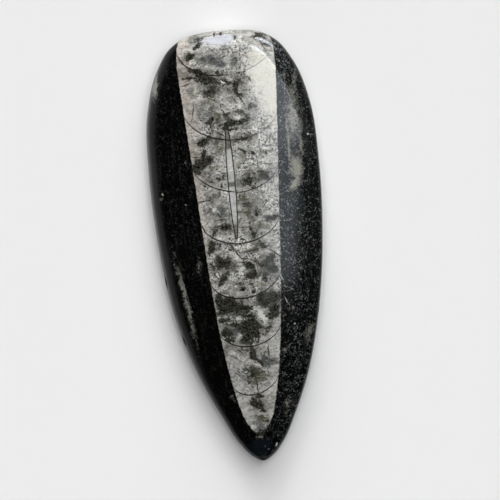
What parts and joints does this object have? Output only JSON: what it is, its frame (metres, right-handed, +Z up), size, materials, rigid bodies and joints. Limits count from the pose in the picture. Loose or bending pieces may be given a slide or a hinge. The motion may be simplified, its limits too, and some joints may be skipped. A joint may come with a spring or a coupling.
{
  "type": "orthoceras fossil",
  "caption": "Polished teardrop of black limestone holding a straight-shelled fossil cut lengthwise; lies flat as a display piece or cabochon.",
  "frame": {"origin": "under the middle of the flat base, at the bottom centre of the bounding box", "axes": "+Y along the length toward the blunt end, +Z up from the base to the polished face, +X to the right seen from above"},
  "size_m": [0.03, 0.076, 0.0095],
  "materials": {
    "orthoceras_stone": "hand polished black limestone with a fossil in white and grey calcite, flush with the polish"
  },
  "bodies": {
    "root": {"orthoceras_stone": "orthoceras_stone"}
  },
  "joints": []
}
